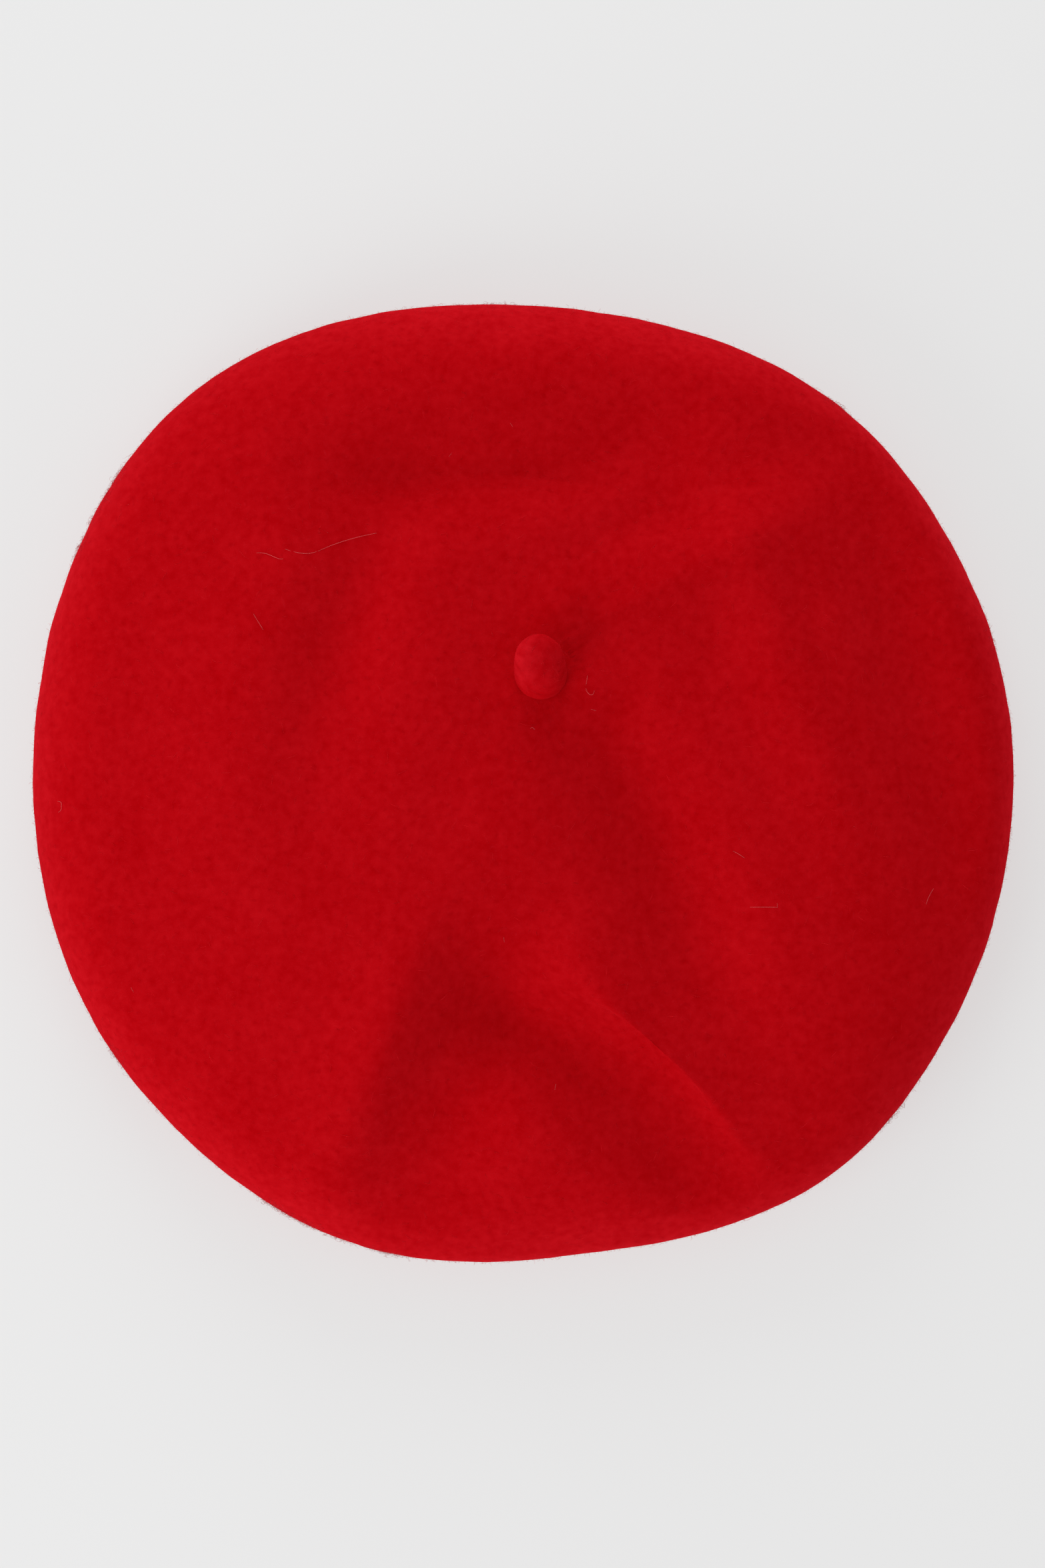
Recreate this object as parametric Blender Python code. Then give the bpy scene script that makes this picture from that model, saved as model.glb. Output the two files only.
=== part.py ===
"""A knitted and fulled wool beret, lying crown up on a flat surface.

The felt is one seamless piece. It spreads from the stem's seat over the crown to the rim, rolls
under, and runs back in to the head opening, where its edge is turned up inside as a hem.
Metres, +Z up. The origin is under the middle of the beret, on the surface that it rests on.
+X and +Y are the right and the top of the beret as seen from above.
"""

import math
from itertools import pairwise
from typing import NamedTuple

import bmesh
import bpy
from mathutils import Vector

# The beret as it lies
BERET_WIDTH = 0.280
BERET_DEPTH = 0.2735
CROWN_HEIGHT = 0.044
DOME_RISE = 0.005
RIM_HEIGHT = 0.013
SHOULDER_REACH = 0.050
SHOULDER_FULLNESS = 2.5
ROLL_REACH = 0.024
ROLL_FULLNESS = 2.3
FELT_THICKNESS = 0.0025

# The head opening and its turned hem
OPENING_WIDTH = 0.172
OPENING_DEPTH = 0.176
OPENING_X = -0.002
OPENING_Y = -0.014
HEM_WIDTH = 0.012
HEM_GAP = 0.0012

# The stem, a stub of felt that leans as it rises
STEM_X = 0.0049
STEM_Y = 0.0306
STEM_LENGTH = 0.013
STEM_RADIUS = 0.0074
STEM_LEAN_X = -0.0008
STEM_LEAN_Y = 0.0058
STEM_SEAT_MARGIN = 0.001
STEM_CLEARANCE = 0.0003

# How finely the felt is divided
SECTORS = 80
CROWN_RINGS = 15
SHOULDER_RINGS = 7
ROLL_RINGS = 5
UNDERSIDE_RINGS = 2
HEM_FOLD_RINGS = 4
STEM_SECTORS = 20

# Distances over which the folds fade out beside the rim and beside the stem's seat
RIM_FADE = 0.016
SEAT_FADE = 0.020

UP = Vector((0, 0, 1))
DOWN = Vector((0, 0, -1))

FELT_RED = (0.418, 0.0018, 0.0045, 1.0)
FELT_ROUGHNESS = 0.95


class RimLobe(NamedTuple):
    """A bulge or flat of the rim: its direction and spread in degrees, counted from +X towards
    +Y, how far it reaches out as a share of half the width, and its lift as a share of
    RIM_HEIGHT."""

    direction: float
    spread: float
    reach: float
    lift: float


class Fold(NamedTuple):
    """A soft ridge or dent of the crown. x and length run as shares of half the width, y and
    breadth as shares of half the depth. turn is its direction in degrees, bend its bow as a
    share of its length, and rise its height as a share of CROWN_HEIGHT."""

    name: str
    x: float
    y: float
    length: float
    breadth: float
    turn: float
    bend: float
    rise: float


class StemSection(NamedTuple):
    """A ring of the stem: its height as a share of STEM_LENGTH, its radius as a share of
    STEM_RADIUS and its share of the lean."""

    height: float
    radius: float
    lean: float


RIM_LOBES = (
    RimLobe(direction=50, spread=16, reach=0.012, lift=0.15),
    RimLobe(direction=84, spread=20, reach=-0.012, lift=-0.10),
    RimLobe(direction=129, spread=24, reach=0.052, lift=0.20),
    RimLobe(direction=152, spread=20, reach=0.012, lift=0.00),
    RimLobe(direction=212, spread=22, reach=0.008, lift=-0.10),
    RimLobe(direction=246, spread=14, reach=0.012, lift=0.15),
    RimLobe(direction=277, spread=14, reach=-0.022, lift=-0.15),
    RimLobe(direction=310, spread=14, reach=0.020, lift=0.20),
    RimLobe(direction=352, spread=14, reach=-0.006, lift=0.00),
)

FOLDS = (
    Fold("top_valley", x=-0.24, y=0.62, length=0.26, breadth=0.08, turn=0, bend=0.10, rise=-0.15),
    Fold("top_dip", x=0.16, y=0.67, length=0.24, breadth=0.09, turn=6, bend=0.00, rise=-0.23),
    Fold("top_edge", x=0.10, y=0.88, length=0.38, breadth=0.10, turn=-3, bend=-0.20, rise=0.08),
    Fold("top_ridge", x=-0.18, y=0.48, length=0.20, breadth=0.08, turn=-4, bend=0.10, rise=0.05),
    Fold("stem_valley", x=0.38, y=0.60, length=0.26, breadth=0.06, turn=23, bend=0.00, rise=-0.11),
    Fold("stem_ridge", x=0.32, y=0.48, length=0.28, breadth=0.08, turn=24, bend=0.00, rise=0.05),
    Fold("left_ridge", x=-0.56, y=0.20, length=0.45, breadth=0.12, turn=80, bend=-0.10, rise=0.08),
    Fold("left_valley", x=-0.36, y=0.30, length=0.32, breadth=0.09, turn=74, bend=-0.15, rise=-0.09),
    Fold("mid_rise", x=0.04, y=-0.16, length=0.34, breadth=0.13, turn=-62, bend=0.00, rise=0.08),
    Fold("mid_valley", x=0.28, y=-0.12, length=0.38, breadth=0.10, turn=-66, bend=-0.04, rise=-0.16),
    Fold("mid_ridge", x=0.50, y=-0.26, length=0.36, breadth=0.12, turn=-66, bend=0.05, rise=0.05),
    Fold("right_ridge", x=0.53, y=0.24, length=0.38, breadth=0.09, turn=-75, bend=0.05, rise=0.13),
    Fold("right_valley", x=0.78, y=0.16, length=0.46, breadth=0.12, turn=-74, bend=0.05, rise=-0.20),
    Fold("left_crest", x=-0.28, y=-0.56, length=0.40, breadth=0.09, turn=67, bend=0.00, rise=0.12),
    Fold("left_crease", x=-0.09, y=-0.60, length=0.32, breadth=0.09, turn=67, bend=0.00, rise=-0.15),
    Fold("right_crest", x=0.29, y=-0.53, length=0.32, breadth=0.07, turn=-40, bend=0.00, rise=0.12),
    Fold("right_crease", x=0.18, y=-0.65, length=0.32, breadth=0.07, turn=-40, bend=0.00, rise=-0.19),
    Fold("crease_floor", x=0.02, y=-0.52, length=0.16, breadth=0.12, turn=-25, bend=0.00, rise=-0.11),
    Fold("corner_dent", x=0.52, y=-0.70, length=0.12, breadth=0.06, turn=-20, bend=0.00, rise=-0.07),
    Fold("low_left_dent", x=-0.66, y=-0.34, length=0.18, breadth=0.12, turn=-30, bend=0.00, rise=-0.04),
)

STEM_SECTIONS = (
    StemSection(height=0.00, radius=1.00, lean=0.00),
    StemSection(height=0.10, radius=0.97, lean=0.04),
    StemSection(height=0.30, radius=0.90, lean=0.20),
    StemSection(height=0.52, radius=0.86, lean=0.48),
    StemSection(height=0.72, radius=0.82, lean=0.76),
    StemSection(height=0.88, radius=0.64, lean=0.94),
    StemSection(height=0.97, radius=0.36, lean=1.00),
    StemSection(height=1.00, radius=0.12, lean=1.00),
)

SEAT_RADIUS = STEM_RADIUS + STEM_SEAT_MARGIN
SEAT = Vector((STEM_X, STEM_Y))
STEM_FOOT = CROWN_HEIGHT + STEM_CLEARANCE
HEM_FOLD_RADIUS = FELT_THICKNESS + HEM_GAP / 2


def smooth_step(share):
    """0 up to share 0, 1 from share 1 on, and a smooth rise between them."""
    share = min(max(share, 0.0), 1.0)
    return share * share * (3 - 2 * share)


def lobe_sum(angle, column):
    """The sum of one column of RIM_LOBES at an angle in degrees."""
    total = 0.0
    for lobe in RIM_LOBES:
        away = (angle - lobe.direction + 180) % 360 - 180
        total += getattr(lobe, column) * math.exp(-((away / lobe.spread) ** 2))
    return total


def fit_between(values, size):
    """The values scaled and shifted to run from -size / 2 to size / 2."""
    low, high = min(values), max(values)
    return [((value - low) / (high - low) - 0.5) * size for value in values]


def rim_outline():
    """The widest line as seen from above, one point for each sector."""
    angles = [math.tau * sector / SECTORS for sector in range(SECTORS)]
    reaches = [1 + lobe_sum(math.degrees(angle), "reach") for angle in angles]
    xs = [reach * math.cos(angle) for reach, angle in zip(reaches, angles)]
    ys = [reach * math.sin(angle) for reach, angle in zip(reaches, angles)]
    return [Vector(place) for place in zip(fit_between(xs, BERET_WIDTH), fit_between(ys, BERET_DEPTH))]


def fold_rise(place):
    """How far the folds lift or sink the crown at a place seen from above."""
    half_width, half_depth = BERET_WIDTH / 2, BERET_DEPTH / 2
    total = 0.0
    for fold in FOLDS:
        turn = math.radians(fold.turn)
        x = place.x - fold.x * half_width
        y = place.y - fold.y * half_depth
        along = (x * math.cos(turn) + y * math.sin(turn)) / (fold.length * half_width)
        across = (y * math.cos(turn) - x * math.sin(turn)) / (fold.breadth * half_depth)
        across -= fold.bend * fold.length / fold.breadth * along * along
        total += fold.rise * CROWN_HEIGHT * math.exp(-(along * along) - across * across)
    return total


class Ray:
    """One sector of the felt: the straight line, seen from above, from the seat to the rim."""

    def __init__(self, sector, rim):
        angle = math.tau * sector / SECTORS
        self.length = (rim - SEAT).length
        self.direction = (rim - SEAT).normalized()
        self.rim_height = RIM_HEIGHT * (1 + lobe_sum(math.degrees(angle), "lift"))
        self.opening = Vector(
            (
                OPENING_X + OPENING_WIDTH / 2 * math.cos(angle),
                OPENING_Y + OPENING_DEPTH / 2 * math.sin(angle),
            )
        )
        self.outwards = Vector((math.cos(angle), math.sin(angle)))

    def inset(self, distance):
        """The place this far in from the rim."""
        return SEAT + self.direction * (self.length - distance)

    def hem_place(self, distance):
        """The place this far out from the opening's edge."""
        return self.opening + self.outwards * distance

    def crown_point(self, distance):
        """The outer face of the crown this far in from the rim."""
        place = self.inset(distance)
        from_seat = self.length - distance
        nearness = max(1 - distance / SHOULDER_REACH, 0.0)
        shoulder = max(1 - nearness**SHOULDER_FULLNESS, 0.0) ** (1 / SHOULDER_FULLNESS)
        height = self.rim_height + (CROWN_HEIGHT - DOME_RISE - self.rim_height) * shoulder
        height += DOME_RISE * (1 - (from_seat / self.length) ** 2)
        fade = smooth_step(distance / RIM_FADE) * smooth_step((from_seat - SEAT_RADIUS) / SEAT_FADE)
        return place.to_3d() + Vector((0, 0, height + fade * fold_rise(place)))


def crown_rings(rays, mean_length):
    """Rings from the seat to the widest line. They start round and take the rim's shape."""
    seat_height = Vector((0, 0, CROWN_HEIGHT))
    yield [(SEAT + ray.direction * SEAT_RADIUS).to_3d() + seat_height for ray in rays]
    for ring in range(1, CROWN_RINGS + 1):
        share = ring / CROWN_RINGS
        points = []
        for ray in rays:
            level_end = ray.length - SHOULDER_REACH
            round_end = mean_length - SHOULDER_REACH
            end = round_end + (level_end - round_end) * share
            from_seat = SEAT_RADIUS + (end - SEAT_RADIUS) * share
            points.append(ray.crown_point(ray.length - from_seat))
        yield points
    for ring in range(1, SHOULDER_RINGS + 1):
        swing = math.pi / 2 * ring / SHOULDER_RINGS
        distance = SHOULDER_REACH * (1 - math.sin(swing) ** (2 / SHOULDER_FULLNESS))
        yield [ray.crown_point(distance) for ray in rays]


def underside_rings(rays):
    """Rings from the widest line round the roll and flat along the surface to the opening."""
    for ring in range(1, ROLL_RINGS + 1):
        swing = math.pi / 2 * ring / ROLL_RINGS
        distance = ROLL_REACH * (1 - math.cos(swing) ** (2 / ROLL_FULLNESS))
        height_share = 1 - math.sin(swing) ** (2 / ROLL_FULLNESS)
        yield [
            ray.inset(distance).to_3d() + Vector((0, 0, ray.rim_height * height_share))
            for ray in rays
        ]
    for ring in range(1, UNDERSIDE_RINGS + 1):
        share = ring / UNDERSIDE_RINGS
        yield [
            ray.inset(ROLL_REACH).lerp(ray.hem_place(HEM_FOLD_RADIUS), share).to_3d()
            for ray in rays
        ]


def hem_rings(rays):
    """Rings round the fold at the opening's edge and back along the turned-in ply."""
    for ring in range(1, HEM_FOLD_RINGS + 1):
        swing = math.pi * ring / HEM_FOLD_RINGS
        outwards = HEM_FOLD_RADIUS * (1 - math.sin(swing))
        up = Vector((0, 0, HEM_FOLD_RADIUS * (1 - math.cos(swing))))
        yield [ray.hem_place(outwards).to_3d() + up for ray in rays]
    up = Vector((0, 0, 2 * HEM_FOLD_RADIUS))
    yield [ray.hem_place(HEM_FOLD_RADIUS + HEM_WIDTH).to_3d() + up for ray in rays]


def loop_edges(bm, verts):
    """The edges that join the vertices of one ring, in order."""
    return [bm.edges.get(pair) for pair in pairwise([*verts, verts[0]])]


def grow_ring(bm, verts, places):
    """A new ring extruded from the last one and set at its places."""
    grown = bmesh.ops.extrude_edge_only(bm, edges=loop_edges(bm, verts))["geom"]
    new = {item for item in grown if isinstance(item, bmesh.types.BMVert)}
    links = [(vert, edge) for vert in verts for edge in vert.link_edges]
    ring = [edge.other_vert(vert) for vert, edge in links if edge.other_vert(vert) in new]
    for vert, place in zip(ring, places):
        vert.co = place
    return ring


def loft(name, rings, material, first_face, close_end):
    """A skin through the rings, closed over the first and, if asked, over the last. first_face is
    UP or DOWN, the way that the first ring's face looks."""
    bm = bmesh.new()
    start = bmesh.ops.create_circle(bm, segments=len(rings[0]), radius=1.0)["verts"]
    for vert, place in zip(start, rings[0]):
        vert.co = place
    verts = start
    for places in rings[1:]:
        verts = grow_ring(bm, verts, places)
    first = bmesh.ops.contextual_create(bm, geom=loop_edges(bm, start))["faces"][0]
    if close_end:
        bmesh.ops.contextual_create(bm, geom=loop_edges(bm, verts))
    bmesh.ops.recalc_face_normals(bm, faces=bm.faces)
    if first.normal.dot(first_face) < 0:
        bmesh.ops.reverse_faces(bm, faces=bm.faces)
    mesh = bpy.data.meshes.new(name)
    bm.to_mesh(mesh)
    bm.free()
    mesh.shade_smooth()
    mesh.materials.append(material)
    piece = bpy.data.objects.new(name, mesh)
    bpy.context.scene.collection.objects.link(piece)
    return piece


def felt_material(name):
    """Fulled wool: matt, with no shine of its own."""
    material = bpy.data.materials.new(name)
    material.use_nodes = True
    shader = material.node_tree.nodes["Principled BSDF"]
    shader.inputs["Base Color"].default_value = FELT_RED
    shader.inputs["Roughness"].default_value = FELT_ROUGHNESS
    shader.inputs["Metallic"].default_value = 0.0
    return material


def build_crown():
    """The felt from seat to hem, given its thickness inwards."""
    rays = [Ray(sector, rim) for sector, rim in enumerate(rim_outline())]
    mean_length = sum(ray.length for ray in rays) / SECTORS
    rings = [*crown_rings(rays, mean_length), *underside_rings(rays), *hem_rings(rays)]
    crown = loft("crown", rings, felt_material("crown_felt"), first_face=UP, close_end=False)
    wall = crown.modifiers.new("felt", "SOLIDIFY")
    wall.thickness = FELT_THICKNESS
    wall.offset = -1
    wall.use_even_offset = True
    return crown


def build_stem():
    """The stub on its seat: rings that narrow, lean and round off."""
    rings = []
    for section in STEM_SECTIONS:
        centre = Vector((STEM_LEAN_X, STEM_LEAN_Y)) * section.lean
        radius = STEM_RADIUS * section.radius
        angles = [math.tau * sector / STEM_SECTORS for sector in range(STEM_SECTORS)]
        rings.append(
            [
                Vector(
                    (
                        centre.x + radius * math.cos(angle),
                        centre.y + radius * math.sin(angle),
                        STEM_LENGTH * section.height,
                    )
                )
                for angle in angles
            ]
        )
    stem = loft("stem", rings, felt_material("stem_felt"), first_face=DOWN, close_end=True)
    stem.location = (STEM_X, STEM_Y, STEM_FOOT)
    return stem


def main():
    for piece in list(bpy.data.objects):
        bpy.data.objects.remove(piece)
    build_crown()
    build_stem()


main()
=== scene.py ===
"""A beret of red fulled wool on a pale table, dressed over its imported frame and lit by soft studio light."""

import math
import random
from typing import NamedTuple

import bmesh
import bpy
import numpy as np
from mathutils import Matrix, Vector
from mathutils.bvhtree import BVHTree


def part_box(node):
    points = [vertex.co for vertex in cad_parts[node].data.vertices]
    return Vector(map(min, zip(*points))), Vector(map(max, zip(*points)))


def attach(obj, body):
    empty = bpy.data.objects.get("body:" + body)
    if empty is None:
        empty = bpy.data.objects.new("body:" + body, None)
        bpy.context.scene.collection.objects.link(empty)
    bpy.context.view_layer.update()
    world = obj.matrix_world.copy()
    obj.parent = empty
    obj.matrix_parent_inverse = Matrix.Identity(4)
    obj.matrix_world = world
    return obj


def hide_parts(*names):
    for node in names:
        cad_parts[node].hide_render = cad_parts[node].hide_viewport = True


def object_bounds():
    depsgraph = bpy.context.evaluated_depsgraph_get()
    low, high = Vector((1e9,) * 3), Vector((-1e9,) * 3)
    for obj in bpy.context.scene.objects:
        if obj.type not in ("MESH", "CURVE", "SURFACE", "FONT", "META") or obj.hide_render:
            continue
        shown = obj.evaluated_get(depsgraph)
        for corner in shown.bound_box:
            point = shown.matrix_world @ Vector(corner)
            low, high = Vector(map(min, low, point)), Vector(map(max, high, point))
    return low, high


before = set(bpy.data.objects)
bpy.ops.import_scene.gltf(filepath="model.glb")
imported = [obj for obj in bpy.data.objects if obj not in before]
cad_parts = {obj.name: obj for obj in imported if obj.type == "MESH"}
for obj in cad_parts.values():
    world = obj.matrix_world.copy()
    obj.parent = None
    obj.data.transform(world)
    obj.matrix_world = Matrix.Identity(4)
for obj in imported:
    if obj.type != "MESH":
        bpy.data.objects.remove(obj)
CAD_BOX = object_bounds()

bl_info = {
    "name": "Fulled Wool Beret",
    "version": (1, 0, 0),
    "blender": (4, 5, 0),
    "location": "3D View > Sidebar > Beret",
    "description": "Dresses the beret's frame in fulled wool, with its folds, fuzz and loose hairs",
    "category": "Object",
}

MM = 0.001

# Extents of the frame
LOW, HIGH = CAD_BOX
HALF_WIDTH = (HIGH.x - LOW.x) / 2
HALF_DEPTH = (HIGH.y - LOW.y) / 2
STEM_LOW, STEM_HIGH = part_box("stem")

# The photograph's framing: its size, the beret's width in it and the beret's middle from the frame's
PHOTO_WIDTH = 1568
PHOTO_HEIGHT = 2352
PHOTO_BERET_WIDTH = 1476
PHOTO_OFFSET_RIGHT = 1.0
PHOTO_OFFSET_UP = 1.5
SENSOR = 36.0

# Heights between which the crown's finer folds fade into the rolled rim
RELIEF_FADE_LOW = 18 * MM
RELIEF_FADE_HIGH = 28 * MM

# Places at which a fold's run is measured, and the power that keeps a crease deep near its ends
RUN_SAMPLES = 40
CREASE_FULLNESS = 0.8

# Air between the felt and the table top, which keeps their faces apart
TABLE_GAP = 0.05 * MM


class Crease(NamedTuple):
    """A finer fold of the crown. start, middle and end are on its run, as shares of half the width
    and of half the depth. depth is how far it sinks in millimetres, or rises where it is negative.
    left and right are its breadths in millimetres on either side of the run from start to end."""

    name: str
    start: tuple
    middle: tuple
    end: tuple
    depth: float
    left: float
    right: float


class Lip(NamedTuple):
    """A fold whose edge stands over the dent below it. start, middle and end are on its face, as in
    a Crease. Its slope, reach millimetres wide on either side, is narrowed to a share at the face."""

    name: str
    start: tuple
    middle: tuple
    end: tuple
    reach: float
    share: float


class Tuft(NamedTuple):
    """A place on the rim where the fuzz stands in tangles: its direction from the middle and its
    spread, in degrees, and its thickness as a share of the fullest."""

    direction: float
    spread: float
    share: float


class StrandLayer(NamedTuple):
    """A layer of the felt's fibre bundles: how broad the patches are that lie one way, the bundles'
    length and width as shares of the felt's, and how far its pattern is moved from the other's."""

    patch: float
    length: float
    width: float
    shift: tuple


class FibreKind(NamedTuple):
    """A kind of loose fibre: the piece that it grows on and the mark there that says how densely, how
    many shapes it comes in and the range of their lengths as shares, the steps in which one grows and
    how far it bends and twists at each, its first tilt and how far it leans in degrees, the range of
    its sizes as shares, and the seeds of its shapes and of its places."""

    name: str
    host: str
    mark: str
    shapes: int
    lengths: tuple
    steps: int
    bend: float
    twist: float
    tilt: float
    lean: float
    sizes: tuple
    shape_seed: int
    place_seed: int


class Softbox(NamedTuple):
    """A round studio lamp that points at the beret: where it stands in degrees, its power in watts."""

    name: str
    azimuth: float
    elevation: float
    power: float


CREASES = (
    Crease("v_right_rise", (-0.16, -0.56), (0.04, -0.70), (0.30, -0.90), depth=-3.8, left=20.0, right=20.0),
    Crease("v_right_dent", (-0.06, -0.44), (0.17, -0.57), (0.46, -0.82), depth=2.6, left=4.0, right=9.0),
    Crease("v_left_dent", (-0.10, -0.22), (-0.23, -0.60), (-0.33, -0.98), depth=2.0, left=12.0, right=6.0),
    Crease("front_fall", (-0.55, -0.96), (0.00, -1.04), (0.62, -0.88), depth=3.2, left=38.0, right=10.0),
    Crease("left_hollow", (-0.58, 0.72), (-0.76, 0.08), (-0.64, -0.62), depth=2.2, left=30.0, right=15.0),
    Crease("left_swell", (-0.20, 0.45), (-0.27, -0.10), (-0.36, -0.78), depth=-4.0, left=20.0, right=32.0),
    Crease("middle_fold", (0.04, 0.24), (0.25, -0.15), (0.34, -0.56), depth=1.3, left=12.0, right=14.0),
    Crease("right_hollow", (0.50, 0.52), (0.54, 0.16), (0.62, -0.26), depth=2.8, left=11.0, right=28.0),
    Crease("right_fold", (0.57, 0.62), (0.67, 0.24), (0.80, -0.20), depth=-2.0, left=10.0, right=6.0),
    Crease("upper_fold", (0.08, 0.45), (0.30, 0.55), (0.56, 0.65), depth=1.4, left=15.0, right=6.0),
    Crease("upper_ridge", (0.08, 0.28), (0.28, 0.40), (0.56, 0.55), depth=-2.2, left=5.0, right=14.0),
    Crease("top_hollow", (-0.50, 0.66), (-0.14, 0.70), (0.36, 0.72), depth=2.8, left=20.0, right=34.0),
    Crease("left_fold", (-0.36, 0.08), (-0.32, 0.34), (-0.24, 0.54), depth=1.0, left=10.0, right=6.0),
    Crease("corner_fold", (0.40, -0.68), (0.52, -0.72), (0.64, -0.72), depth=1.2, left=4.0, right=6.0),
)

LIPS = (
    Lip("v_right_lip", (0.03, -0.40), (0.27, -0.54), (0.48, -0.82), reach=9.0, share=-0.15),
)

TUFTS = (
    Tuft(direction=143.5, spread=2.2, share=1.0),
    Tuft(direction=148, spread=1.2, share=0.7),
    Tuft(direction=152, spread=1.4, share=0.8),
    Tuft(direction=240, spread=1.8, share=1.0),
    Tuft(direction=244, spread=1.8, share=0.9),
    Tuft(direction=248, spread=1.2, share=0.7),
    Tuft(direction=254, spread=2.4, share=1.0),
    Tuft(direction=50, spread=1.2, share=0.6),
    Tuft(direction=214, spread=1.4, share=0.6),
    Tuft(direction=93, spread=1.6, share=0.3),
    Tuft(direction=318, spread=2.0, share=0.4),
    Tuft(direction=18, spread=1.6, share=0.3),
)

# Loose pale hairs on the crown: where each one runs, in millimetres from the beret's middle
STRAY_HAIRS = (
    ((-74.7, 64.4), (-70.8, 64.8), (-69.4, 62.3), (-67.2, 62.7)),
    ((-66.6, 65.4), (-62.6, 64.2), (-60.5, 63.8), (-57.9, 64.8)),
    ((-57.5, 64.9), (-52.0, 67.6), (-46.0, 69.2), (-41.2, 70.1)),
    ((-75.5, 47.3), (-74.2, 45.2), (-72.7, 42.8)),
    ((18.0, 30.1), (17.9, 28.8), (17.5, 27.4)),
    ((17.5, 26.5), (18.0, 24.6), (19.7, 23.8), (19.9, 25.9)),
    ((19.0, 20.6), (20.4, 20.3)),
    ((2.0, 15.2), (2.5, 15.9), (3.2, 15.0)),
    ((-131.3, -5.2), (-129.9, -5.2), (-130.5, -6.7), (-129.9, -7.5), (-131.1, -8.3)),
    ((63.6, -34.8), (67.4, -34.7), (71.1, -34.8)),
    ((71.1, -33.6), (71.2, -34.9)),
    ((58.8, -19.1), (60.4, -19.8), (62.0, -21.0)),
    ((115.5, -29.7), (113.6, -32.5), (113.4, -34.1)),
    ((-5.5, -43.2), (-5.3, -44.6)),
    ((-110.4, -57.6), (-109.7, -58.9)),
    ((-20.9, 91.9), (-20.2, 92.8)),
    ((-3.6, 101.2), (-3.0, 100.2)),
    ((9.2, -84.6), (8.9, -86.2)),
)

# Stray hairs: how far they bow off the felt and the range of that as shares, their seed, and the
# height over the beret from which the felt under them is looked for
HAIR_LIFT = 0.3 * MM
HAIR_BOWS = (0.6, 1.4)
HAIR_SEED = 3
RAY_START = 0.1

STRAND_LAYERS = (
    StrandLayer(patch=3.4 * MM, length=1.0, width=1.0, shift=(0.3, 0.1, 0.5)),
    StrandLayer(patch=2.3 * MM, length=0.7, width=0.8, shift=(0.7, 0.4, 0.2)),
)

# The clouds' share in the felt's colour, the strands' share in its relief, and how strong its sheen is
CLOUD_SHARE = 0.45
STRAND_RELIEF = 0.35
CROWN_SHEEN = 0.36
STEM_SHEEN = 0.14

# How far apart the light and dark places are along a fibre and in the table, and a fibre's dark share
FIBRE_SHADE_SIZE = 1.5 * MM
FIBRE_DARK_SHARE = 0.7
TABLE_HAZE_SIZE = 60 * MM

# Where the crown's rim begins, as a share of the way out, and how far its felt faces outwards there
RIM_AWAY = (0.80, 0.86)
RIM_OUTWARD = (0.45, 0.85)
EDGE_OUTWARD = (0.78, 0.95)
TANGLE_OUTWARD = (0.84, 0.97)
# How much lighter and pinker the rim's outward-facing felt is painted: a painted sheen
RIM_PAINTED_SHEEN = 0.1

# Where the crown's nap begins: how far its felt faces up and how high it is, falling off outwards
TOP_UPWARD = (0.2, 0.6)
TOP_HEIGHTS = (20 * MM, 26 * MM)
TOP_FALL = 14 * MM

# Where the stem's nap and its wear begin, as shares of its height, and where its painted highlight begins, as
# a share of its width from the right
STEM_NAP_HEIGHTS = (0.2, 0.5)
STEM_WEAR_AND_HIGHLIGHT_HEIGHTS = (0.15, 0.7)
STEM_HIGHLIGHT_SIDE = (0.4, 0.9)
# The stem's real wear all over, and the lighter red painted on its left side, a painted highlight from the
# lamp on the left
STEM_WEAR_ALL = 0.06
STEM_PAINTED_HIGHLIGHT_LEFT = 0.24

CROWN_NAP = FibreKind("crown_nap", host="felt_crown", mark="lying", shapes=8, lengths=(0.6, 1.2), steps=5,
                      bend=7, twist=14, tilt=70, lean=4, sizes=(0.6, 1.3), shape_seed=11, place_seed=11)
STEM_NAP = CROWN_NAP._replace(name="stem_nap", host="felt_stem", shape_seed=23, place_seed=23)
STEM_NAP_SHARE = 6.0
RIM_FUZZ = FibreKind("rim_fuzz", host="felt_crown", mark="rim", shapes=8, lengths=(0.6, 1.3), steps=4,
                     bend=18, twist=20, tilt=20, lean=35, sizes=(0.5, 1.3), shape_seed=5, place_seed=31)
TANGLE = FibreKind("tufts", host="felt_crown", mark="tangled", shapes=12, lengths=(0.6, 1.2), steps=10,
                   bend=30, twist=30, tilt=10, lean=45, sizes=(0.5, 1.2), shape_seed=7, place_seed=47)

# A fibre's half width as a share of its thickness, at its root and at the least. It swells along a
# half wave, of which SWELLING_START is left out and SWELLING_RUN is used. Its bends vary by a share.
FIBRE_ROOT = 0.25
FIBRE_LEAST = 0.05
SWELLING_START = 0.12
SWELLING_RUN = 0.85
BEND_VARIATION = 0.6

SOFTBOXES = (
    Softbox("left_softbox", azimuth=221, elevation=27, power=6.1),
    Softbox("top_softbox", azimuth=100, elevation=25, power=5.4),
    Softbox("right_fill", azimuth=318, elevation=28, power=1.0),
)
SOFTBOX_DISTANCE = 1.15
SOFTBOX_SIZE = 0.8
CAMERA_HEIGHT = 1.8
TABLE_SIZE = 6.0

# The height of the rim's widest part, at which the photograph's width is measured, as a share
RIM_HEIGHT_SHARE = 0.25


def linear(hex_code):
    """Scene-linear colour of an sRGB hex value, with a full alpha."""
    shares = [int(hex_code[i:i + 2], 16) / 255 for i in (0, 2, 4)]
    return (*(c / 12.92 if c <= 0.04045 else ((c + 0.055) / 1.055) ** 2.4 for c in shares), 1.0)


def smooth_step(low, high, value):
    """0 below low, 1 above high and an even S between them. value may be an array."""
    share = np.clip((value - low) / (high - low), 0.0, 1.0)
    return share * share * (3 - 2 * share)


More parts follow.
